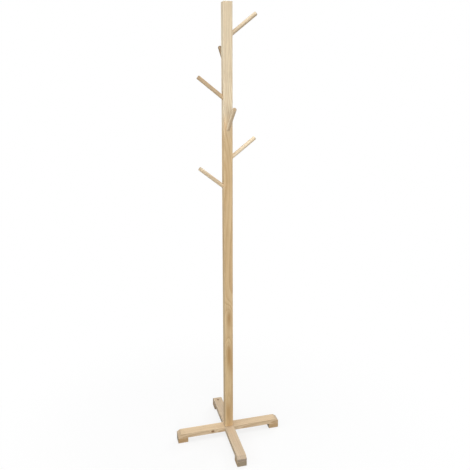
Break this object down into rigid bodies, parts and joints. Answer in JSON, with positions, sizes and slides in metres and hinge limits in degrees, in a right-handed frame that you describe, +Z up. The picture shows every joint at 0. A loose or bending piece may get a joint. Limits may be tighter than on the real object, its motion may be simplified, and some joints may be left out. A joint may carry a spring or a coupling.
{
  "type": "standing coat rack",
  "caption": "Free-standing wooden coat rack: a square post on a cross-lapped base with blocked feet, and round pegs that rise at a slant from its faces.",
  "frame": {"origin": "on the floor, under the post's axis, where the two base beams cross", "axes": "+Z up along the post, +X out along the right base beam, -Y out along the front base beam"},
  "size_m": [0.45, 0.45, 1.76],
  "materials": {
    "post_wood": "planed pale pine, thin satin lacquer",
    "beam_wood": "planed pale pine, thin satin lacquer",
    "foot_wood": "planed honey pine, thin satin lacquer",
    "peg_wood": "turned pale beech dowel, sanded",
    "dowel_wood": "raw fluted beech dowel",
    "felt": "pressed wool felt",
    "zinc_steel": "bright zinc plate",
    "brass": "turned"
  },
  "bodies": {
    "root": {"post": "post_wood", "base_beam_front_back": "beam_wood", "base_beam_left_right": "beam_wood", "foot_block_left": "foot_wood", "foot_block_right": "foot_wood", "foot_block_front": "foot_wood", "foot_block_back": "foot_wood", "felt_pad_left": "felt", "felt_pad_right": "felt", "felt_pad_front": "felt", "felt_pad_back": "felt", "foot_screw_left_inner": "zinc_steel", "foot_screw_left_outer": "zinc_steel", "foot_screw_right_inner": "zinc_steel", "foot_screw_right_outer": "zinc_steel", "foot_screw_front_inner": "zinc_steel", "foot_screw_front_outer": "zinc_steel", "foot_screw_back_inner": "zinc_steel", "foot_screw_back_outer": "zinc_steel", "peg_1_right": "peg_wood", "peg_2_back": "peg_wood", "peg_3_left": "peg_wood", "peg_4_front": "peg_wood", "peg_5_right": "peg_wood", "peg_6_left": "peg_wood", "centre_bolt": "zinc_steel", "centre_washer": "zinc_steel", "threaded_insert": "brass", "locating_dowel_a": "dowel_wood", "locating_dowel_b": "dowel_wood"}
  },
  "joints": []
}
